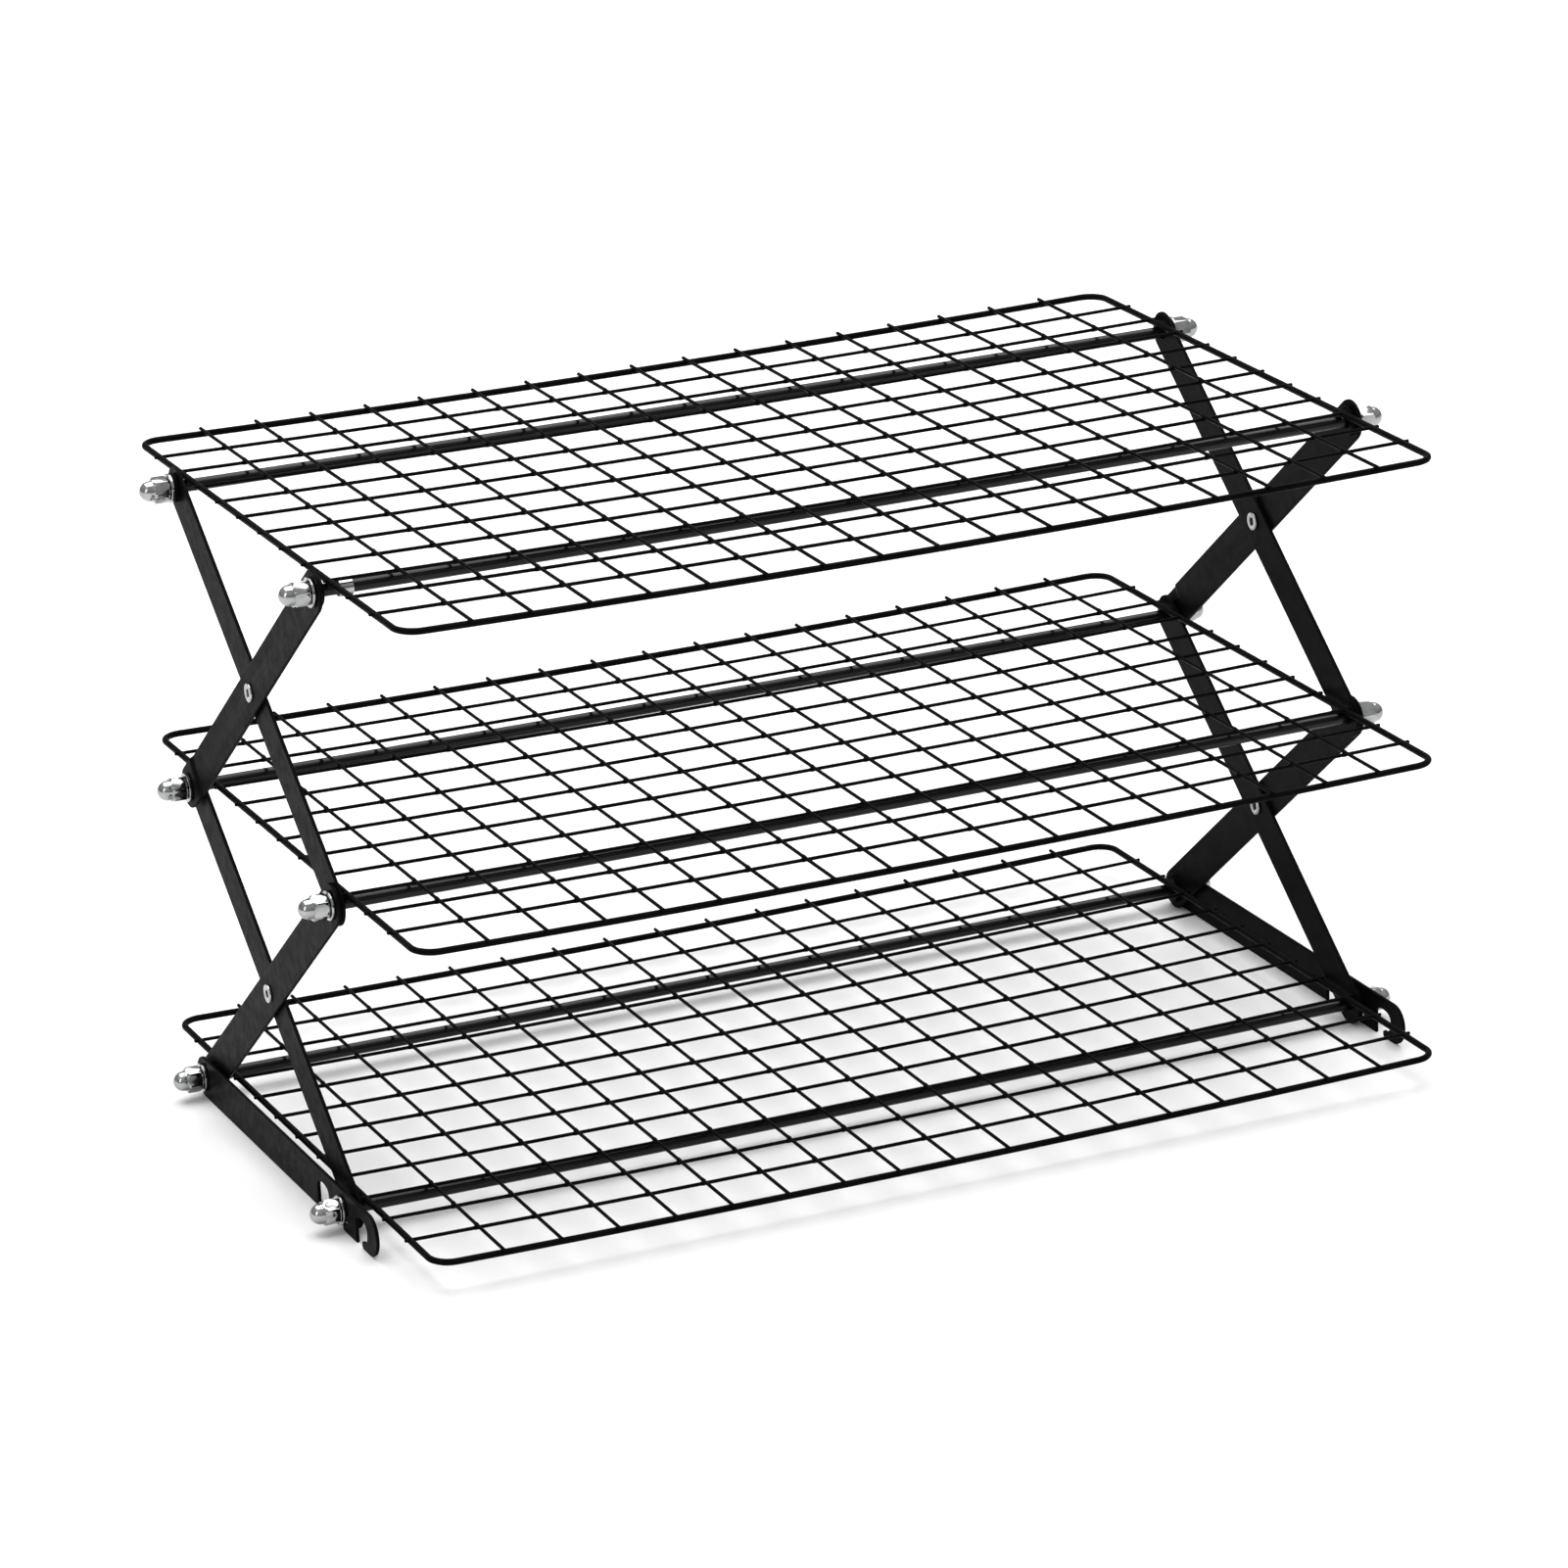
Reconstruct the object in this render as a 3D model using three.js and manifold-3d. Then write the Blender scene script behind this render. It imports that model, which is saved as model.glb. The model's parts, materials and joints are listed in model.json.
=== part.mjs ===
// Three-tier folding cooling rack: three wire grids carried by a pair of two-stage scissor frames.
// Millimetres. +Z is up, +Y points to the rear, +X to the right.
// The origin is on the floor, in the middle of the grids' outline.
//
// Each side has four arms. Two cross in every stage, at a rivet:
//   stage 1 (bottom to middle grid): lower_outer_arm and lower_inner_arm
//   stage 2 (middle to top grid):    upper_outer_arm and upper_inner_arm
// Six rods join the sides, one at the front and one at the rear of every level.

import * as THREE from "three";
import { mergeVertices } from "three/addons/utils/BufferGeometryUtils.js";
import Module from "manifold-3d";

const wasm = await Module();
wasm.setup();

// ---------- driving dimensions ----------
const GRID_WIDTH = 457; // between the centre lines of the frame wire, along X
const GRID_DEPTH = 305; // the same along Y
const FRAME_WIRE = 2.8; // frame wire diameter
const FRAME_CORNER = 9; // centre line radius at a frame corner
const OCTAGON_CHAMFER = 0.29; // of the width, cut off each corner of a square to give eight sides
const THIN_WIRE = 1.4; // side of a thin wire's section
const WIRE_PITCH = 25; // between thin wires, both ways
const SHORT_WIRES = 17; // thin wires that run front to back
const LONG_WIRES = 11; // thin wires that run left to right
const LONG_WIRE_HEIGHT = 0.45; // centre of a long wire above the frame's centre
const SHORT_WIRE_HEIGHT = 1.95; // centre of a short wire above the frame's centre
const LONG_WIRE_STUB = 1.3; // how far a long wire's end stands past the frame
const SHORT_WIRE_STUB = 1;

const STAGE_HEIGHT = 132; // from one level's rods to the next
const REAR_ROD_Y = 95;
const FRONT_ROD_Y = -71;
const ROD_DROP = 4.4; // rod centre below the grid frame's centre
const ROD_DIAMETER = 5.3;
const ROD_TIP = 1; // length of the cone at each end

const BAR_WIDTH = 18; // flat bar of the arms and lock bars
const BAR_THICKNESS = 1.5;
const GAP = 0.3; // between neighbouring pieces
const ROD_HOLE = 5.9;
const RIVET_SHANK = 4;
const RIVET_HOLE = 4.6;
const RIVET_HEAD = 8;
const RIVET_HEAD_THICKNESS = 0.7;
const JOGGLE_DEPTH = 1.2; // how far the upper outer arm's lower end is set outwards
const JOGGLE_START = 10; // from the end hole
const JOGGLE_LENGTH = 4;

const WASHER_DIAMETER = 12.5;
const WASHER_THICKNESS = 1.3;
const NUT_ACROSS_FLATS = 10;
const NUT_HEX_LENGTH = 6.5;
const NUT_DOME_DIAMETER = 8.6;
const NUT_LENGTH = 12;
const NUT_BORE_DEPTH = 9;
const ROD_IN_NUT = 7.5;
const COLLAR_DIAMETER = 7.4;
const COLLAR_LENGTH = 6;
const COLLAR_INNER_FACE = 218; // from the middle of the rack

const NOTCH_PITCH = 21.7; // between the lock bar's three notches
const NOTCH_WIDTH = 12.8;
const NOTCH_MOUTH = 6.2; // way in for the rod, beside the notch's rear wall
const CLAW_HEIGHT = 3.2; // of the claw that narrows the mouth
const ROD_HEADROOM = 1; // between the rod and the notch's roof
const HOOK_LENGTH = 11; // bar left in front of the foremost notch
const HOOK_RADIUS = 9;

// ---------- worked out from them ----------
const ROD_SPREAD = REAR_ROD_Y - FRONT_ROD_Y;
const ARM_LENGTH = Math.hypot(ROD_SPREAD, STAGE_HEIGHT);
const ARM_ANGLE = Math.atan2(STAGE_HEIGHT, ROD_SPREAD);
const ROD_HEIGHTS = [0, 1, 2].map((level) => BAR_WIDTH / 2 + level * STAGE_HEIGHT);
const GRID_EDGE = GRID_WIDTH / 2 + FRAME_WIRE / 2;
// Distances of the flat bars' inner faces from the middle of the rack.
const INNER_PLANE = GRID_EDGE + LONG_WIRE_STUB + GAP;
const OUTER_PLANE = INNER_PLANE + BAR_THICKNESS + GAP;
const JOGGLED_PLANE = OUTER_PLANE + JOGGLE_DEPTH;
const LOCK_PLANE = JOGGLED_PLANE + BAR_THICKNESS + GAP;

const BLACK = { color: 0x161616, roughness: 0.42, metalness: 0.3 };
const ZINC = { color: 0xc9cbcc, roughness: 0.25, metalness: 1 };

// ---------- closed solids ----------
function solid(geometry) {
  const bare = geometry.index ? geometry.toNonIndexed() : geometry.clone();
  for (const name of Object.keys(bare.attributes)) {
    if (name !== "position") bare.deleteAttribute(name);
  }
  const merged = mergeVertices(bare, 1e-4);
  return new wasm.Manifold(
    new wasm.Mesh({
      numProp: 3,
      vertProperties: merged.attributes.position.array,
      triVerts: new Uint32Array(merged.index.array),
    }),
  );
}

function geometryOf(manifold) {
  const { vertProperties, triVerts } = manifold.getMesh();
  const geometry = new THREE.BufferGeometry();
  geometry.setAttribute("position", new THREE.BufferAttribute(vertProperties, 3));
  geometry.setIndex(new THREE.BufferAttribute(triVerts, 1));
  return geometry;
}

function box(low, high) {
  const size = high.map((value, axis) => value - low[axis]);
  const centre = high.map((value, axis) => (value + low[axis]) / 2);
  return solid(new THREE.BoxGeometry(...size).translate(...centre));
}

// A solid of revolution about X. The profile holds [x, radius] pairs.
function turned(profile, sides) {
  const points = profile.map(([x, radius]) => new THREE.Vector2(radius, x));
  return solid(new THREE.LatheGeometry(points, sides).rotateZ(-Math.PI / 2));
}

// A washer or spacer about X, from one x to another.
function ring(from, to, bore, diameter) {
  const profile = [
    [from, bore / 2],
    [from, diameter / 2],
    [to, diameter / 2],
    [to, bore / 2],
    [from, bore / 2],
  ];
  return turned(profile, 12);
}

// A flat plate from a shape drawn in the YZ plane, with its inner face at x = 0.
function plate(shape, thickness = BAR_THICKNESS) {
  const geometry = new THREE.ExtrudeGeometry(shape, {
    depth: thickness,
    bevelEnabled: false,
    curveSegments: 8,
  });
  const toYZ = new THREE.Matrix4().makeBasis(
    new THREE.Vector3(0, 1, 0),
    new THREE.Vector3(0, 0, 1),
    new THREE.Vector3(1, 0, 0),
  );
  return solid(geometry.applyMatrix4(toYZ));
}

// ---------- scene ----------
const rack = new THREE.Group();

function addMesh(group, name, manifold, finish) {
  const mesh = new THREE.Mesh(geometryOf(manifold), new THREE.MeshStandardMaterial(finish));
  mesh.name = name;
  group.add(mesh);
  return mesh;
}

// Both sides of the rack: a piece made for the right side is mirrored for the left.
function addToBothSides(name, manifold, finish, place) {
  for (const [side, mirror] of [["left", -1], ["right", 1]]) {
    const made = mirror < 0 ? manifold.mirror([1, 0, 0]) : manifold;
    const mesh = addMesh(rack, `${name}_${side}`, made, finish);
    mesh.position.set(mirror * place.x, place.y, place.z);
    mesh.rotation.x = place.tilt ?? 0;
  }
}

// ---------- grids ----------
function roundedRectangle(path, halfWidth, halfDepth, radius) {
  path.moveTo(halfWidth, radius - halfDepth);
  path.absarc(halfWidth - radius, halfDepth - radius, radius, 0, Math.PI / 2);
  path.absarc(radius - halfWidth, halfDepth - radius, radius, Math.PI / 2, Math.PI);
  path.absarc(radius - halfWidth, radius - halfDepth, radius, Math.PI, 1.5 * Math.PI);
  path.absarc(halfWidth - radius, radius - halfDepth, radius, 1.5 * Math.PI, 2 * Math.PI);
  return path;
}

// The frame wire has an eight-sided section: a flat ring with chamfered edges.
function gridFrame() {
  const chamfer = FRAME_WIRE * OCTAGON_CHAMFER;
  const flat = FRAME_WIRE / 2 - chamfer;
  const ringAt = (path, side) =>
    roundedRectangle(path, GRID_WIDTH / 2 + side, GRID_DEPTH / 2 + side, FRAME_CORNER + side);
  const shape = ringAt(new THREE.Shape(), flat);
  shape.holes.push(ringAt(new THREE.Path(), -flat));
  const geometry = new THREE.ExtrudeGeometry(shape, {
    depth: 2 * flat,
    bevelThickness: chamfer,
    bevelSize: chamfer,
    bevelSegments: 1,
    curveSegments: 4,
  });
  return solid(geometry.translate(0, 0, -flat));
}

function thinWires() {
  const half = THIN_WIRE / 2;
  const reachX = GRID_EDGE + LONG_WIRE_STUB;
  const reachY = GRID_DEPTH / 2 + FRAME_WIRE / 2 + SHORT_WIRE_STUB;
  const wires = [];
  for (let i = 0; i < SHORT_WIRES; i++) {
    const x = (i - (SHORT_WIRES - 1) / 2) * WIRE_PITCH;
    const z = SHORT_WIRE_HEIGHT;
    wires.push(box([x - half, -reachY, z - half], [x + half, reachY, z + half]));
  }
  for (let j = 0; j < LONG_WIRES; j++) {
    const y = (j - (LONG_WIRES - 1) / 2) * WIRE_PITCH;
    const z = LONG_WIRE_HEIGHT;
    wires.push(box([-reachX, y - half, z - half], [reachX, y + half, z + half]));
  }
  return wires;
}

function addGrids() {
  const grid = thinWires().reduce((sum, wire) => sum.add(wire), gridFrame());
  ["bottom", "middle", "top"].forEach((level, index) => {
    const mesh = addMesh(rack, `${level}_grid`, grid, BLACK);
    mesh.position.z = ROD_HEIGHTS[index] + ROD_DROP;
  });
}

// ---------- arms ----------
// A flat bar with round ends, drawn along +Y from its lower hole at the origin.
function armShape() {
  const radius = BAR_WIDTH / 2;
  const shape = new THREE.Shape();
  shape.absarc(0, 0, radius, Math.PI / 2, 1.5 * Math.PI);
  shape.absarc(ARM_LENGTH, 0, radius, -Math.PI / 2, Math.PI / 2);
  const holes = [[0, ROD_HOLE], [ARM_LENGTH / 2, RIVET_HOLE], [ARM_LENGTH, ROD_HOLE]];
  for (const [along, diameter] of holes) {
    shape.holes.push(new THREE.Path().absarc(along, 0, diameter / 2, 0, 2 * Math.PI));
  }
  return shape;
}

// The edge-on view of a bar whose lower end is set outwards by JOGGLE_DEPTH.
function joggledStrip() {
  const bendEnd = JOGGLE_START + JOGGLE_LENGTH;
  const back = -BAR_WIDTH;
  const front = ARM_LENGTH + BAR_WIDTH;
  const innerLine = [[back, JOGGLE_DEPTH], [JOGGLE_START, JOGGLE_DEPTH], [bendEnd, 0], [front, 0]];
  const outerLine = innerLine.map(([along, out]) => [along, out + BAR_THICKNESS]).reverse();
  const outline = [...innerLine, ...outerLine].map(([along, out]) => new THREE.Vector2(out, along));
  const geometry = new THREE.ExtrudeGeometry(new THREE.Shape(outline), {
    depth: 2 * BAR_WIDTH,
    bevelEnabled: false,
  });
  return solid(geometry.translate(0, 0, -BAR_WIDTH));
}

function addArms() {
  const straight = plate(armShape());
  const joggled = plate(armShape(), JOGGLE_DEPTH + BAR_THICKNESS).intersect(joggledStrip());
  const risingForward = Math.PI - ARM_ANGLE; // from a rear rod up to a front rod
  const risingBack = ARM_ANGLE; // from a front rod up to a rear rod
  const [bottom, middle] = ROD_HEIGHTS;
  const rear = REAR_ROD_Y;
  const front = FRONT_ROD_Y;
  const placed = (x, y, z, tilt) => ({ x, y, z, tilt });
  const arms = {
    lower_outer_arm: placed(OUTER_PLANE, rear, bottom, risingForward),
    lower_inner_arm: placed(INNER_PLANE, front, bottom, risingBack),
    upper_outer_arm: placed(OUTER_PLANE, rear, middle, risingForward),
    upper_inner_arm: placed(INNER_PLANE, front, middle, risingBack),
  };
  for (const [name, place] of Object.entries(arms)) {
    addToBothSides(name, name === "upper_outer_arm" ? joggled : straight, BLACK, place);
  }
}

// A rivet about X, with a head inside the inner arm and one outside the outer arm.
function rivet() {
  const innerFace = INNER_PLANE - GAP;
  const outerFace = OUTER_PLANE + BAR_THICKNESS + GAP;
  const shank = RIVET_SHANK / 2;
  const head = RIVET_HEAD / 2;
  const profile = [
    [innerFace - RIVET_HEAD_THICKNESS, 0],
    [innerFace - RIVET_HEAD_THICKNESS, head],
    [innerFace, head],
    [innerFace, shank],
    [outerFace, shank],
    [outerFace, head],
    [outerFace + RIVET_HEAD_THICKNESS, head],
    [outerFace + RIVET_HEAD_THICKNESS, 0],
  ];
  return turned(profile, 12);
}

function addRivets() {
  const y = (REAR_ROD_Y + FRONT_ROD_Y) / 2;
  ["lower", "upper"].forEach((stage, index) => {
    const z = ROD_HEIGHTS[index] + STAGE_HEIGHT / 2;
    addToBothSides(`${stage}_rivet`, rivet(), ZINC, { x: 0, y, z });
  });
}

// ---------- lock bars ----------
// Drawn along +Y from the rear hole. Each notch opens downwards at its rear end, and has a pocket in
// front of the mouth, where the rod is held by the claw below it.
function cutNotch(outline, rearWall) {
  const edge = -BAR_WIDTH / 2;
  const clawTip = rearWall + NOTCH_MOUTH;
  const clawTop = edge + CLAW_HEIGHT;
  const pocketFront = rearWall + NOTCH_WIDTH;
  const top = ROD_DIAMETER / 2 + ROD_HEADROOM;
  const shoulder = top - 3.5;
  const widest = -0.6;
  const clawBevelLength = 0.8;
  const clawBevelHeight = 0.6;
  const leadIn = 1.5;
  outline.lineTo(rearWall, edge);
  outline.lineTo(rearWall, shoulder);
  outline.quadraticCurveTo(rearWall, top, rearWall + NOTCH_WIDTH / 2, top);
  outline.quadraticCurveTo(pocketFront, top, pocketFront, widest);
  outline.quadraticCurveTo(pocketFront, clawTop, clawTip + clawBevelLength, clawTop);
  outline.lineTo(clawTip, clawTop - clawBevelHeight);
  outline.quadraticCurveTo(clawTip, edge, clawTip + leadIn, edge);
}

function lockBarShape() {
  const half = BAR_WIDTH / 2;
  const middleWall = ROD_SPREAD - NOTCH_WIDTH / 2;
  const end = middleWall + NOTCH_PITCH + NOTCH_WIDTH + HOOK_LENGTH;
  const outline = new THREE.Shape();
  outline.moveTo(0, half);
  outline.absarc(0, 0, half, Math.PI / 2, 1.5 * Math.PI, false);
  for (const step of [-1, 0, 1]) cutNotch(outline, middleWall + step * NOTCH_PITCH);
  outline.lineTo(end - HOOK_RADIUS, -half);
  outline.absarc(end - HOOK_RADIUS, 0, HOOK_RADIUS, -Math.PI / 2, Math.PI / 2, false);
  outline.holes.push(new THREE.Path().absarc(0, 0, ROD_HOLE / 2, 0, 2 * Math.PI));
  return outline;
}

function addLockBars() {
  const bar = plate(lockBarShape()).mirror([0, 1, 0]);
  const place = { x: LOCK_PLANE, y: REAR_ROD_Y, z: ROD_HEIGHTS[0] };
  addToBothSides("lock_bar", bar, BLACK, place);
}

// ---------- rods, nuts and washers ----------
const behind = (plane) => plane + BAR_THICKNESS + GAP;
const before = (plane) => plane - GAP;

// What sits on each rod, outwards from the grid: the spacers that fill the planes that no bar uses,
// then a washer and an acorn nut. washer is the plane of the washer's inner face.
const RODS = [
  {
    name: "bottom_rear",
    level: 0,
    y: REAR_ROD_Y,
    spacers: {
      arm_spacer: [INNER_PLANE, before(OUTER_PLANE)],
      lock_spacer: [behind(OUTER_PLANE), before(LOCK_PLANE)],
    },
    washer: behind(LOCK_PLANE),
  },
  {
    name: "bottom_front",
    level: 0,
    y: FRONT_ROD_Y,
    spacers: { lock_spacer: [behind(INNER_PLANE), before(LOCK_PLANE)] },
    washer: behind(LOCK_PLANE),
  },
  {
    name: "middle_rear",
    level: 1,
    y: REAR_ROD_Y,
    spacers: { arm_spacer: [behind(INNER_PLANE), before(JOGGLED_PLANE)] },
    washer: behind(JOGGLED_PLANE),
  },
  { name: "middle_front", level: 1, y: FRONT_ROD_Y, spacers: {}, washer: behind(OUTER_PLANE) },
  {
    name: "top_rear",
    level: 2,
    y: REAR_ROD_Y,
    spacers: { arm_spacer: [behind(INNER_PLANE), OUTER_PLANE + BAR_THICKNESS] },
    washer: behind(OUTER_PLANE),
  },
  {
    name: "top_front",
    level: 2,
    y: FRONT_ROD_Y,
    spacers: { arm_spacer: [INNER_PLANE, before(OUTER_PLANE)] },
    washer: behind(OUTER_PLANE),
  },
];

function rodSolid(reach) {
  const radius = ROD_DIAMETER / 2;
  const full = reach - ROD_TIP;
  return turned([[-reach, 0], [-full, radius], [full, radius], [reach, 0]], 12);
}

function acornNut() {
  const corner = NUT_ACROSS_FLATS / Math.sqrt(3);
  const neck = NUT_DOME_DIAMETER / 2;
  const domeLength = NUT_LENGTH - NUT_HEX_LENGTH;
  const hexagon = turned([[0, 0], [0, corner], [NUT_HEX_LENGTH, corner], [NUT_HEX_LENGTH, 0]], 6);
  const dome = [[1, 0], [1, neck], [NUT_HEX_LENGTH, neck]];
  for (const angle of [30, 60]) {
    const turn = THREE.MathUtils.degToRad(angle);
    dome.push([NUT_HEX_LENGTH + domeLength * Math.sin(turn), neck * Math.cos(turn)]);
  }
  dome.push([NUT_LENGTH, 0]);
  const bore = [[-1, 0], [-1, ROD_HOLE / 2], [NUT_BORE_DEPTH, ROD_HOLE / 2], [NUT_BORE_DEPTH, 0]];
  return hexagon.add(turned(dome, 12)).subtract(turned(bore, 12));
}

function addRods() {
  const nut = acornNut();
  for (const rod of RODS) {
    const nutFace = rod.washer + WASHER_THICKNESS + GAP;
    const place = { x: 0, y: rod.y, z: ROD_HEIGHTS[rod.level] };
    const bar = addMesh(rack, `${rod.name}_rod`, rodSolid(nutFace + ROD_IN_NUT), BLACK);
    bar.position.set(place.x, place.y, place.z);
    for (const [kind, [from, to]] of Object.entries(rod.spacers)) {
      addToBothSides(`${rod.name}_${kind}`, ring(from, to, ROD_HOLE, WASHER_DIAMETER), BLACK, place);
    }
    const washer = ring(rod.washer, rod.washer + WASHER_THICKNESS, ROD_HOLE, WASHER_DIAMETER);
    addToBothSides(`${rod.name}_washer`, washer, ZINC, place);
    addToBothSides(`${rod.name}_acorn_nut`, nut, ZINC, { ...place, x: nutFace });
  }
}

// The collar that keeps the top front rod from sliding to the left.
function addStopCollar() {
  const collar = ring(-COLLAR_INNER_FACE - COLLAR_LENGTH, -COLLAR_INNER_FACE, ROD_HOLE, COLLAR_DIAMETER);
  const mesh = addMesh(rack, "top_front_stop_collar_left", collar, ZINC);
  mesh.position.set(0, FRONT_ROD_Y, ROD_HEIGHTS[2]);
}

addGrids();
addArms();
addRivets();
addLockBars();
addRods();
addStopCollar();

export default rack;
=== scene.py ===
"""Looks of the three-tier folding cooling rack: round coated wires, rounded flat bars, bright hardware.

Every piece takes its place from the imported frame. Lengths are in metres.
"""

import json
import math

import bmesh
import bpy
from mathutils import Matrix, Vector


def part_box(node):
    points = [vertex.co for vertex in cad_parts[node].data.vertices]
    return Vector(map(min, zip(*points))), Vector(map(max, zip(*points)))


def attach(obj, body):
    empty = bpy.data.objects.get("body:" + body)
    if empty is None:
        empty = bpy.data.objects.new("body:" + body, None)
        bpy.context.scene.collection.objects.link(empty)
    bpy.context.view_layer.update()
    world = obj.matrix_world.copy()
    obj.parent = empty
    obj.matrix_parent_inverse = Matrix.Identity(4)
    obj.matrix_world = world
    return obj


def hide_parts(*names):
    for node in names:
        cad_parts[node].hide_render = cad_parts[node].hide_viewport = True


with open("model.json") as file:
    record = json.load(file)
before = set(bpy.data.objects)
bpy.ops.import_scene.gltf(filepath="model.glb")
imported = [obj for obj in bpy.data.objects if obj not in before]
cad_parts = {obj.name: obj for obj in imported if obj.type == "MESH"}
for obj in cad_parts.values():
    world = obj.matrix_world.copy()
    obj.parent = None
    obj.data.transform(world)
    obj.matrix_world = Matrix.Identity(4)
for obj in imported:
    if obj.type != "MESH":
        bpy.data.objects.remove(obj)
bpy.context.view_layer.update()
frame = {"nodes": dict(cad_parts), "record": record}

MM = 0.001
SIDES = {"left": -1, "right": 1}
LEVELS = ("bottom", "middle", "top")
BODY_OF = {node: body for body, nodes in frame["record"]["behaviour"]["bodies"].items() for node in nodes}

# ---------- sizes that the frame's boxes don't give ----------
FRAME_WIRE = 2.8 * MM
FRAME_CORNER = 9 * MM
THIN_WIRE = 1.55 * MM  # with its coat
WIRE_PITCH = 25 * MM
SHORT_WIRES = 17
LONG_WIRES = 11
SHORT_WIRE_RISE = 1.85 * MM  # centre of a front-to-back wire above the frame wire's centre
LONG_WIRE_RISE = 0.55 * MM
SHORT_WIRE_STUB = 1 * MM  # cut end that stands past the frame wire
LONG_WIRE_STUB = 1.3 * MM
WELD_REACH = 1.6 * MM  # how far the coat's swelling runs on each side of a weld
WELD_SWELLING = 1.22  # times the wire's diameter
CUT_BEVEL = 0.25 * MM  # on a thin wire's cut ends
EDGE_ROUND = 0.4 * MM  # rounding of the flat bars' edges
BAR_CREASE = 12  # degrees, less than a flat face makes with the first strip of its rounded edge
HOLE = 5.9 * MM  # for the rods, in bars, washers, spacers, collar and nuts
RIVET_HOLE = 4.6 * MM
RIVET_SHANK = 4 * MM
RIVET_HEAD_THICKNESS = 0.7 * MM
JOGGLE_START = 10 * MM  # of the bend that sets the upper outer arm's foot outwards, from its hole
JOGGLE_LENGTH = 4 * MM
GRID_SAG = 2.2 * MM  # how far the middle of a grid hangs below its left and right ends
ROD_SAG = 0.8 * MM
ROD_END_BEVEL = 0.6 * MM
NUT_ACROSS_FLATS = 10 * MM
NUT_HEX_LENGTH = 6.6 * MM
NUT_NECK_DIAMETER = 8.6 * MM  # of the dome, where it leaves the hexagon
NOTCH_PITCH = 21.7 * MM
NOTCH_WIDTH = 12.8 * MM
NOTCH_MOUTH = 6.2 * MM  # way in for the rod, beside the notch's rear wall
CLAW_HEIGHT = 3.2 * MM  # of the claw that narrows the mouth
ROD_HEADROOM = 1 * MM  # between the rod and the notch's roof

# Each arm runs from a rod at its lower end to a rod at its upper end.
ARMS = {
    "lower_outer_arm": ("bottom_rear", "middle_front"),
    "lower_inner_arm": ("bottom_front", "middle_rear"),
    "upper_outer_arm": ("middle_rear", "top_front"),
    "upper_inner_arm": ("middle_front", "top_rear"),
}


def centre(node):
    low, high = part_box(node)
    return (Vector(low) + Vector(high)) / 2


def extent(node):
    low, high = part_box(node)
    return Vector(high) - Vector(low)


BAR_WIDTH = extent("lock_bar_left").z
BAR_THICKNESS = extent("lock_bar_left").x
ROD_DIAMETER = extent("bottom_rear_rod").z


# ---------- procedural materials ----------
def new_material(name):
    material = bpy.data.materials.new(name)
    material.use_nodes = True
    return material, material.node_tree.nodes["Principled BSDF"]


def add_node(owner, kind, **values):
    """A node of a material or world, with its named inputs and properties set."""
    node = owner.node_tree.nodes.new(kind)
    for key, value in values.items():
        if hasattr(node, key):
            setattr(node, key, value)
        else:
            node.inputs[key.replace("_", " ")].default_value = value
    return node


def connect(owner, source, target):
    owner.node_tree.links.new(source, target)


def noise(material, scale, detail=3.0, stretch=(1, 1, 1)):
    """Noise in the object's own coordinates, which are metres. scale is in features per metre."""
    place = add_node(material, "ShaderNodeTexCoord")
    mapping = add_node(material, "ShaderNodeMapping", Scale=stretch)
    texture = add_node(material, "ShaderNodeTexNoise", Scale=scale, Detail=detail)
    connect(material, place.outputs["Object"], mapping.inputs["Vector"])
    connect(material, mapping.outputs["Vector"], texture.inputs["Vector"])
    return texture.outputs["Fac"]


def ramp(owner, source, stops):
    """A colour ramp from a list of (position, colour) pairs. A number stands for a grey."""
    node = add_node(owner, "ShaderNodeValToRGB")
    elements = node.color_ramp.elements
    while len(elements) < len(stops):
        elements.new(0.5)
    for element, (position, colour) in zip(elements, stops):
        element.position = position
        element.color = (*colour, 1) if isinstance(colour, tuple) else (colour, colour, colour, 1)
    connect(owner, source, node.inputs["Fac"])
    return node.outputs["Color"]


def add_bump(material, shader, height, depth):
    node = add_node(material, "ShaderNodeBump", Strength=1.0, Distance=depth)
    connect(material, height, node.inputs["Height"])
    connect(material, node.outputs["Normal"], shader.inputs["Normal"])


def black_coat(name, roughness, ior):
    """Baked coat on steel: nearly black, with a fine orange peel and uneven gloss.

    roughness is the pair that the gloss varies between. A low ior keeps white paper out of the black.
    """
    material, shader = new_material(name)
    colour = ramp(material, noise(material, 60), [(0.3, 0.002), (0.7, 0.0045)])
    connect(material, colour, shader.inputs["Base Color"])
    smooth, rough = roughness
    gloss = ramp(material, noise(material, 220, detail=5), [(0.3, smooth), (0.72, rough)])
    connect(material, gloss, shader.inputs["Roughness"])
    shader.inputs["IOR"].default_value = ior
    add_bump(material, shader, noise(material, 1400), 0.03 * MM)
    return material


def bright_zinc():
    """Bright zinc plate: mirror-like, with faint clouding and fine tumbling marks."""
    material, shader = new_material("zinc_plate")
    shader.inputs["Metallic"].default_value = 1.0
    tint = [(0.3, (0.3, 0.31, 0.32)), (0.7, (0.44, 0.44, 0.43))]
    connect(material, ramp(material, noise(material, 260), tint), shader.inputs["Base Color"])
    clouding = ramp(material, noise(material, 500, detail=6), [(0.35, 0.06), (0.75, 0.2)])
    connect(material, clouding, shader.inputs["Roughness"])
    add_bump(material, shader, noise(material, 2500), 0.015 * MM)
    return material


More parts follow.
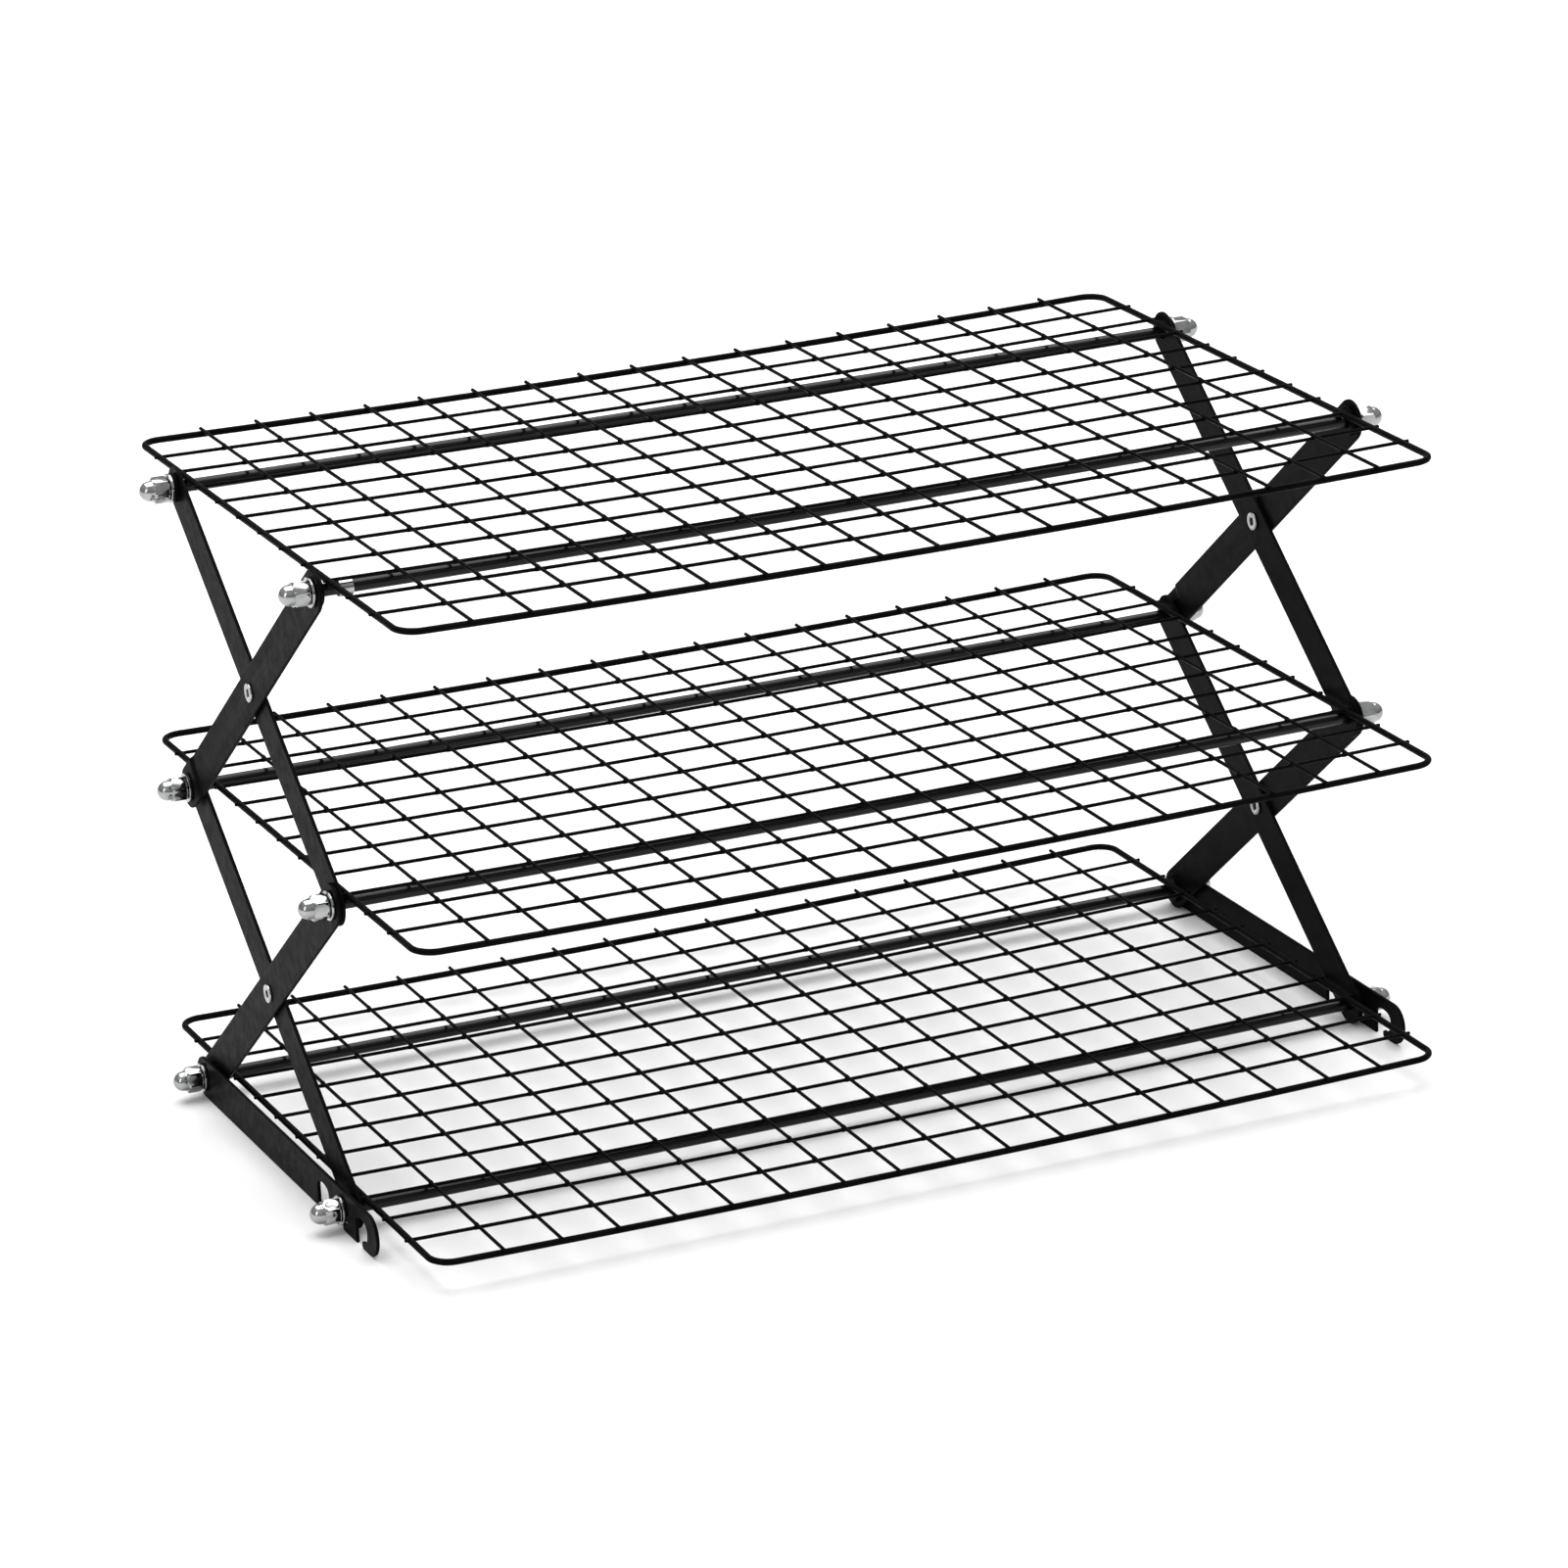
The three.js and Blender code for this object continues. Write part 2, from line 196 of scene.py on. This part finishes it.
def white_floor():
    """Matt white studio paper, with a very slight mottle."""
    material, shader = new_material("white_floor")
    colour = ramp(material, noise(material, 3), [(0.3, 0.86), (0.7, 0.89)])
    connect(material, colour, shader.inputs["Base Color"])
    shader.inputs["Roughness"].default_value = 0.9
    shader.inputs["Specular IOR Level"].default_value = 0.1
    return material


BLACK = black_coat("baked_coat", roughness=(0.3, 0.46), ior=1.07)
GLOSSY_BLACK = black_coat("glossy_coat", roughness=(0.16, 0.28), ior=1.3)
ZINC = bright_zinc()


# ---------- mesh helpers ----------
def finish_piece(name, mesh, material, *nodes, crease=38):
    """Puts a mesh in the scene in place of the CAD nodes that it stands for. crease is in degrees."""
    mesh.shade_smooth()
    mesh.set_sharp_from_angle(angle=math.radians(crease))
    mesh.materials.append(material)
    piece = bpy.data.objects.new(name, mesh)
    bpy.context.scene.collection.objects.link(piece)
    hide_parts(*nodes)
    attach(piece, BODY_OF[nodes[0]])
    return piece


def to_mesh(name, shape):
    mesh = bpy.data.meshes.new(name)
    bmesh.ops.recalc_face_normals(shape, faces=shape.faces)
    shape.to_mesh(mesh)
    shape.free()
    return mesh


def sag(points, depth, half_width):
    """Lowers points towards the middle of the rack's width, as a long thin part hangs."""
    for point in points:
        point.z -= depth * max(0.0, 1 - (point.x / half_width) ** 2)


def join_rings(shape, rings, closed):
    """Faces between neighbouring rings of vertices, and caps on the ends of an open run."""
    count = len(rings[0])
    pairs = list(zip(rings, rings[1:]))
    if closed:
        pairs.append((rings[-1], rings[0]))
    for first, second in pairs:
        for i in range(count):
            j = (i + 1) % count
            shape.faces.new((first[i], first[j], second[j], second[i]))
    if not closed:
        shape.faces.new(rings[0])
        shape.faces.new(reversed(rings[-1]))


def add_wire(shape, points, radii, sides=12, closed=False):
    """A round wire along level points, with a radius at each point."""
    rings = []
    for i, point in enumerate(points):
        before = points[i - 1] if closed or i > 0 else point
        after = points[(i + 1) % len(points)] if closed or i + 1 < len(points) else point
        along = (after - before).normalized()
        aside = along.cross(Vector((0, 0, 1))).normalized()
        upward = aside.cross(along)
        ring = []
        for k in range(sides):
            angle = math.tau * k / sides
            offset = aside * math.cos(angle) + upward * math.sin(angle)
            ring.append(shape.verts.new(point + radii[i] * offset))
        rings.append(ring)
    join_rings(shape, rings, closed)


def turned(name, profile, place, sides=48, across_flats=None):
    """A solid of revolution about X from (x, radius) pairs. across_flats cuts it to a hexagon."""
    shape = bmesh.new()
    rings = []
    for x, radius in profile:
        ring = []
        for k in range(sides):
            angle = math.tau * k / sides
            reach = radius
            if across_flats:
                from_flat = (angle + math.pi / 6) % (math.pi / 3) - math.pi / 6
                reach = min(radius, across_flats / 2 / math.cos(from_flat))
            spot = Vector((x, reach * math.cos(angle), reach * math.sin(angle)))
            ring.append(shape.verts.new(place @ spot))
        rings.append(ring)
    closed = profile[0] == profile[-1]
    if closed:
        for vertex in rings.pop():
            shape.verts.remove(vertex)
    join_rings(shape, rings, closed)
    return to_mesh(name, shape)


# ---------- grids ----------
def frame_loop(half_width, half_depth, z):
    """The frame wire's centre line: a rectangle with round corners, with points along its long sides."""
    corners = []
    steps = 10
    for corner in range(4):
        side_x = (1, -1, -1, 1)[corner]
        side_y = (1, 1, -1, -1)[corner]
        middle = Vector((side_x * (half_width - FRAME_CORNER), side_y * (half_depth - FRAME_CORNER), z))
        angles = [math.pi / 2 * (corner + step / steps) for step in range(steps + 1)]
        corners.append([middle + FRAME_CORNER * Vector((math.cos(a), math.sin(a), 0)) for a in angles])
    points = []
    spans = 24
    for corner, following in zip(corners, corners[1:] + corners[:1]):
        points += corner
        points += [corner[-1].lerp(following[0], i / spans) for i in range(1, spans)]
    return points


def rows(count):
    return [(i - (count - 1) / 2) * WIRE_PITCH for i in range(count)]


def welded_wire(shape, start, end, crossings):
    """A thin wire with bevelled cut ends, and a swelling of the coat at each weld."""
    along = (end - start).normalized()
    length = (end - start).length
    radius = THIN_WIRE / 2
    stations = [(0, radius - CUT_BEVEL), (CUT_BEVEL, radius)]
    for distance in crossings:
        stations += [
            (distance - WELD_REACH, radius),
            (distance - WELD_REACH / 3, radius * WELD_SWELLING),
            (distance + WELD_REACH / 3, radius * WELD_SWELLING),
            (distance + WELD_REACH, radius),
        ]
    stations += [(length - CUT_BEVEL, radius), (length, radius - CUT_BEVEL)]
    points = [start + along * distance for distance, _ in stations]
    add_wire(shape, points, [size for _, size in stations])


def make_grid(level):
    node = f"{level}_grid"
    low, high = (Vector(corner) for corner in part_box(node))
    z = low.z + FRAME_WIRE / 2
    half_width = high.x - LONG_WIRE_STUB - FRAME_WIRE / 2
    half_depth = high.y - SHORT_WIRE_STUB - FRAME_WIRE / 2
    shape = bmesh.new()
    loop = frame_loop(half_width, half_depth, z)
    add_wire(shape, loop, [FRAME_WIRE / 2] * len(loop), sides=20, closed=True)
    for x in rows(SHORT_WIRES):
        start = Vector((x, low.y, z + SHORT_WIRE_RISE))
        end = Vector((x, high.y, z + SHORT_WIRE_RISE))
        welded_wire(shape, start, end, [y - low.y for y in rows(LONG_WIRES)])
    for y in rows(LONG_WIRES):
        start = Vector((low.x, y, z + LONG_WIRE_RISE))
        end = Vector((high.x, y, z + LONG_WIRE_RISE))
        welded_wire(shape, start, end, [x - low.x for x in rows(SHORT_WIRES)])
    sag([vertex.co for vertex in shape.verts], GRID_SAG, half_width)
    finish_piece(f"{level}_wire_grid", to_mesh(node, shape), BLACK, node)


# ---------- flat bars ----------
def arc(middle_x, middle_y, radius, start, end, steps=14):
    """Points on an arc, with the angles in degrees."""
    points = []
    for i in range(steps + 1):
        angle = math.radians(start + (end - start) * i / steps)
        points.append((middle_x + radius * math.cos(angle), middle_y + radius * math.sin(angle)))
    return points


def bend(start, control, end, steps=8):
    """Points on a quadratic curve, without its first point."""
    points = []
    for i in range(1, steps + 1):
        t = i / steps
        weights = ((1 - t) ** 2, 2 * t * (1 - t), t**2)
        points.append(tuple(sum(w * p[k] for w, p in zip(weights, (start, control, end))) for k in (0, 1)))
    return points


def plate(name, outline, holes, place):
    """A flat bar with rounded edges: the outline runs anticlockwise, and the holes are (x, diameter)."""
    curve = bpy.data.curves.new(name, "CURVE")
    curve.dimensions = "2D"
    curve.fill_mode = "BOTH"
    curve.extrude = BAR_THICKNESS / 2 - EDGE_ROUND
    curve.bevel_depth = EDGE_ROUND
    curve.bevel_resolution = 2
    curve.offset = -EDGE_ROUND
    loops = [outline] + [arc(x, 0, diameter / 2, 360, 0, 32)[:-1] for x, diameter in holes]
    for loop in loops:
        spline = curve.splines.new("POLY")
        spline.use_cyclic_u = True
        spline.points.add(len(loop) - 1)
        for point, (x, y) in zip(spline.points, loop):
            point.co = (x, y, 0, 1)
    source = bpy.data.objects.new(name, curve)
    bpy.context.scene.collection.objects.link(source)
    depsgraph = bpy.context.evaluated_depsgraph_get()
    mesh = bpy.data.meshes.new_from_object(source.evaluated_get(depsgraph))
    bpy.data.objects.remove(source)
    shape = bmesh.new()
    shape.from_mesh(mesh)
    bmesh.ops.remove_doubles(shape, verts=shape.verts, dist=1e-6)
    bmesh.ops.transform(shape, matrix=place, verts=shape.verts)
    bpy.data.meshes.remove(mesh)
    return to_mesh(name, shape)


def inner_face(node, side):
    low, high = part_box(node)
    return low[0] if SIDES[side] > 0 else high[0]


def stand_up(node, side, origin, along):
    """Turns a drawing's plane into the side plane of a node: x goes along, and z across the thickness."""
    across = Vector((1, 0, 0)).cross(along)
    turn = Matrix((Vector(along), across, Vector((1, 0, 0)))).transposed().to_4x4()
    middle_x = inner_face(node, side) + SIDES[side] * BAR_THICKNESS / 2
    return Matrix.Translation((middle_x, origin.y, origin.z)) @ turn


def joggle(mesh, place, outward):
    """Sets a bar's lower end outwards, with a bend that follows a smooth step."""
    shape = bmesh.new()
    shape.from_mesh(mesh)
    bmesh.ops.transform(shape, matrix=place.inverted(), verts=shape.verts)
    cuts = 6
    for i in range(cuts + 1):
        cut = JOGGLE_START + JOGGLE_LENGTH * i / cuts
        everything = shape.verts[:] + shape.edges[:] + shape.faces[:]
        bmesh.ops.bisect_plane(shape, geom=everything, dist=1e-7, plane_co=(cut, 0, 0), plane_no=(1, 0, 0))
    for vertex in shape.verts:
        t = min(1.0, max(0.0, (JOGGLE_START + JOGGLE_LENGTH - vertex.co.x) / JOGGLE_LENGTH))
        vertex.co.z += outward * t * t * (3 - 2 * t)
    bmesh.ops.transform(shape, matrix=place, verts=shape.verts)
    shape.to_mesh(mesh)
    shape.free()


def make_arm(name, side):
    node = f"{name}_{side}"
    lower, upper = (centre(f"{rod}_rod") for rod in ARMS[name])
    span = upper - lower
    length = span.length
    radius = BAR_WIDTH / 2
    outline = arc(0, 0, radius, 90, 270, 24) + arc(length, 0, radius, -90, 90, 24)
    holes = [(0, HOLE), (length / 2, RIVET_HOLE), (length, HOLE)]
    place = stand_up(node, side, lower, span.normalized())
    mesh = plate(node, outline, holes, place)
    depth = extent(node).x - BAR_THICKNESS
    if depth > EDGE_ROUND:
        joggle(mesh, place, SIDES[side] * depth)
    finish_piece(f"{name}_bar_{side}", mesh, BLACK, node, crease=BAR_CREASE)


def notch(rear_wall):
    """A notch in the lower edge: a straight rear wall, a round pocket and a claw below its front."""
    edge = -BAR_WIDTH / 2
    claw_tip = rear_wall + NOTCH_MOUTH
    claw_top = edge + CLAW_HEIGHT
    pocket_front = rear_wall + NOTCH_WIDTH
    top = ROD_DIAMETER / 2 + ROD_HEADROOM
    shoulder = top - 3.5 * MM
    widest = -0.6 * MM
    claw_bevel_length = 0.8 * MM
    claw_bevel_height = 0.6 * MM
    lead_in = 1.5 * MM
    points = [(rear_wall, edge), (rear_wall, shoulder)]
    points += bend(points[-1], (rear_wall, top), (rear_wall + NOTCH_WIDTH / 2, top))
    points += bend(points[-1], (pocket_front, top), (pocket_front, widest))
    points += bend(points[-1], (pocket_front, claw_top), (claw_tip + claw_bevel_length, claw_top))
    points += [(claw_tip, claw_top - claw_bevel_height)]
    points += bend(points[-1], (claw_tip, edge), (claw_tip + lead_in, edge))
    return points


def make_lock_bar(side):
    node = f"lock_bar_{side}"
    rear = centre("bottom_rear_rod")
    spread = rear.y - centre("bottom_front_rod").y
    radius = BAR_WIDTH / 2
    end = rear.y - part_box(node)[0][1]
    outline = arc(0, 0, radius, 90, 270, 24)
    for step in (-1, 0, 1):
        outline += notch(spread - NOTCH_WIDTH / 2 + step * NOTCH_PITCH)
    outline += arc(end - radius, 0, radius, -90, 90, 24)
    # Drawn forward from the rear rod: turned over, so that its lower edge stays below.
    place = stand_up(node, side, rear, Vector((0, -1, 0))) @ Matrix.Rotation(math.pi, 4, "X")
    mesh = plate(node, outline, [(0, HOLE)], place)
    finish_piece(f"notched_lock_bar_{side}", mesh, BLACK, node, crease=BAR_CREASE)


# ---------- rods and hardware ----------
def facing(node, side, roll=0):
    """Puts a part made along +X, from its inner face at x = 0, on a node's inner face."""
    turn = Matrix.Identity(4) if SIDES[side] > 0 else Matrix.Rotation(math.pi, 4, "Z")
    spot = Vector((inner_face(node, side), centre(node).y, centre(node).z))
    return Matrix.Translation(spot) @ turn @ Matrix.Rotation(roll, 4, "X")


def make_rod(name):
    node = f"{name}_rod"
    reach = extent(node).x / 2
    radius = ROD_DIAMETER / 2
    full = reach - ROD_END_BEVEL
    spans = 40
    stations = [(-reach, radius - ROD_END_BEVEL)]
    stations += [(full * (2 * i / spans - 1), radius) for i in range(spans + 1)]
    stations.append((reach, radius - ROD_END_BEVEL))
    shape = bmesh.new()
    points = [centre(node) + Vector((x, 0, 0)) for x, _ in stations]
    sag(points, ROD_SAG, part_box("bottom_grid")[1][0])
    add_wire(shape, points, [size for _, size in stations], sides=28)
    finish_piece(f"{name}_cross_rod", to_mesh(node, shape), GLOSSY_BLACK, node)


def make_ring(node, side, kind, material):
    """A washer, spacer or collar with broken edges."""
    thickness = extent(node).x
    outside = extent(node).z / 2
    inside = HOLE / 2
    edge = min(0.22 * MM, thickness / 4)
    profile = [
        (edge, inside),
        (0, inside + edge),
        (0, outside - edge),
        (edge, outside),
        (thickness - edge, outside),
        (thickness, outside - edge),
        (thickness, inside + edge),
        (thickness - edge, inside),
        (edge, inside),
    ]
    finish_piece(f"{node}_{kind}", turned(node, profile, facing(node, side), sides=64), material, node)


def make_acorn_nut(node, side, roll):
    """A hexagon with chamfered corners, a collar and a dome."""
    length = extent(node).x
    flats = NUT_ACROSS_FLATS
    corner_wear = 0.985
    corner = flats / math.sqrt(3) * corner_wear
    neck = NUT_NECK_DIAMETER / 2
    fillet = 0.1 * MM
    chamfer = 0.7 * MM
    base = flats / 2 - 0.1 * MM
    shoulder = flats / 2 - 0.15 * MM
    profile = [
        (0, HOLE / 2),
        (0, base),
        (chamfer, corner),
        (NUT_HEX_LENGTH - chamfer, corner),
        (NUT_HEX_LENGTH, shoulder),
        (NUT_HEX_LENGTH, neck + fillet),
        (NUT_HEX_LENGTH + 3 * fillet, neck),
    ]
    dome_start = NUT_HEX_LENGTH + 0.9 * MM
    dome_length = length - dome_start
    tip_radius = 0.3 * MM
    steps = 12
    for i in range(steps):
        angle = math.pi / 2 * i / steps
        profile.append((dome_start + dome_length * math.sin(angle), neck * math.cos(angle)))
    profile.append((length, tip_radius))
    mesh = turned(node, profile, facing(node, side, roll), sides=72, across_flats=flats)
    finish_piece(f"{node}_capped", mesh, ZINC, node)


def make_rivet(node, side):
    """A tubular rivet: a rolled ring of metal on both faces, each with a hollow in its middle."""
    length = extent(node).x
    head = extent(node).z / 2
    shank = RIVET_SHANK / 2
    thickness = RIVET_HEAD_THICKNESS
    rolled = 0.2 * MM
    edge = 0.1 * MM
    lip = 0.3 * MM
    hollow = 1.7 * MM
    inner_depth = 2 * MM
    outer_depth = 2.2 * MM
    profile = [
        (inner_depth, hollow - rolled),
        (lip, hollow),
        (0, hollow + 0.5 * MM),
        (0, head - 0.6 * MM),
        (rolled, head - edge),
        (2 * rolled, head),
        (thickness - edge, head),
        (thickness, shank),
        (length - thickness, shank),
        (length - thickness + edge, head),
        (length - rolled, head - edge),
        (length, head - 0.8 * MM),
        (length, hollow + 0.7 * MM),
        (length - lip, hollow),
        (length - outer_depth, hollow - rolled),
    ]
    finish_piece(f"{node}_head", turned(node, profile, facing(node, side)), ZINC, node)


def make_hardware():
    """Everything on the rods, and the rivets. Each nut is left at a turn of its own."""
    turn_step = 17
    hexagon_step = 60
    for index, node in enumerate(sorted(frame["nodes"])):
        side = node.rsplit("_", 1)[-1]
        if "acorn_nut" in node:
            make_acorn_nut(node, side, math.radians(turn_step * index % hexagon_step))
        elif "rivet" in node:
            make_rivet(node, side)
        elif "washer" in node:
            make_ring(node, side, "plate", ZINC)
        elif "collar" in node:
            make_ring(node, side, "sleeve", ZINC)
        elif "spacer" in node:
            make_ring(node, side, "sleeve", BLACK)


# ---------- studio ----------
def make_floor():
    """A white sweep: a wide floor that curves up far behind the rack."""
    shape = bmesh.new()
    half_width = 60.0
    front = -60.0
    back = 9.0
    height = 9.0
    curve_radius = 3.0
    steps = 12
    section = [(front, 0.0), (-2.0, 0.0), (0.0, 0.0), (2.0, 0.0)]
    for i in range(steps + 1):
        angle = math.pi / 2 * i / steps
        section.append((back + curve_radius * math.sin(angle), curve_radius * (1 - math.cos(angle))))
    section.append((back + curve_radius, height))
    rings = [[shape.verts.new((x, y, z)) for x in (-half_width, half_width)] for y, z in section]
    for first, second in zip(rings, rings[1:]):
        shape.faces.new((first[0], first[1], second[1], second[0]))
    mesh = to_mesh("studio_floor", shape)
    mesh.materials.append(white_floor())
    mesh.shade_smooth()
    floor = bpy.data.objects.new("studio_floor", mesh)
    bpy.context.scene.collection.objects.link(floor)


def add_softbox(name, location, aim, size, watts):
    light = bpy.data.lights.new(name, "AREA")
    light.shape = "RECTANGLE"
    light.size, light.size_y = size
    light.energy = watts
    lamp = bpy.data.objects.new(name, light)
    lamp.location = location
    lamp.rotation_euler = (Vector(aim) - Vector(location)).to_track_quat("-Z", "Y").to_euler()
    bpy.context.scene.collection.objects.link(lamp)


def light_studio():
    world = bpy.data.worlds.new("studio")
    world.use_nodes = True
    place = add_node(world, "ShaderNodeTexCoord")
    height = add_node(world, "ShaderNodeSeparateXYZ")
    connect(world, place.outputs["Generated"], height.inputs["Vector"])
    # Brighter overhead than at the horizon, as in a room lit from its ceiling.
    sky = ramp(world, height.outputs["Z"], [(0.0, 0.5), (0.75, 1.0)])
    connect(world, sky, world.node_tree.nodes["Background"].inputs["Color"])
    world.node_tree.nodes["Background"].inputs["Strength"].default_value = 0.6
    bpy.context.scene.world = world
    middle = (0, 0, 0.14)
    add_softbox("overhead", location=(0.3, 1.2, 4.2), aim=middle, size=(5.0, 5.0), watts=275)
    add_softbox("left_strip", location=(-2.2, -1.2, 1.3), aim=middle, size=(0.7, 1.8), watts=10)
    bpy.context.scene.view_settings.view_transform = "Standard"


def place_camera():
    """Left of the front, a little above, with a long lens and a slight roll."""
    turn = math.radians(-23.9)
    pitch = math.radians(19.25)
    roll = math.radians(-2.05)
    location = Matrix.Translation((-1.0608, -2.3887, 1.0425))
    sensor = 36.0
    lens_in_sensor_widths = 4.149
    camera_data = bpy.data.cameras.new("camera")
    camera_data.sensor_width = sensor
    camera_data.lens = lens_in_sensor_widths * sensor
    camera_data.clip_end = 100
    camera = bpy.data.objects.new("camera", camera_data)
    aim = Matrix.Rotation(turn, 4, "Z") @ Matrix.Rotation(math.pi / 2 - pitch, 4, "X")
    camera.matrix_world = location @ aim @ Matrix.Rotation(roll, 4, "Z")
    bpy.context.scene.collection.objects.link(camera)
    bpy.context.scene.camera = camera


for level in LEVELS:
    make_grid(level)
    make_rod(f"{level}_rear")
    make_rod(f"{level}_front")
for side in SIDES:
    for name in ARMS:
        make_arm(name, side)
    make_lock_bar(side)
make_hardware()
make_floor()
light_studio()
place_camera()
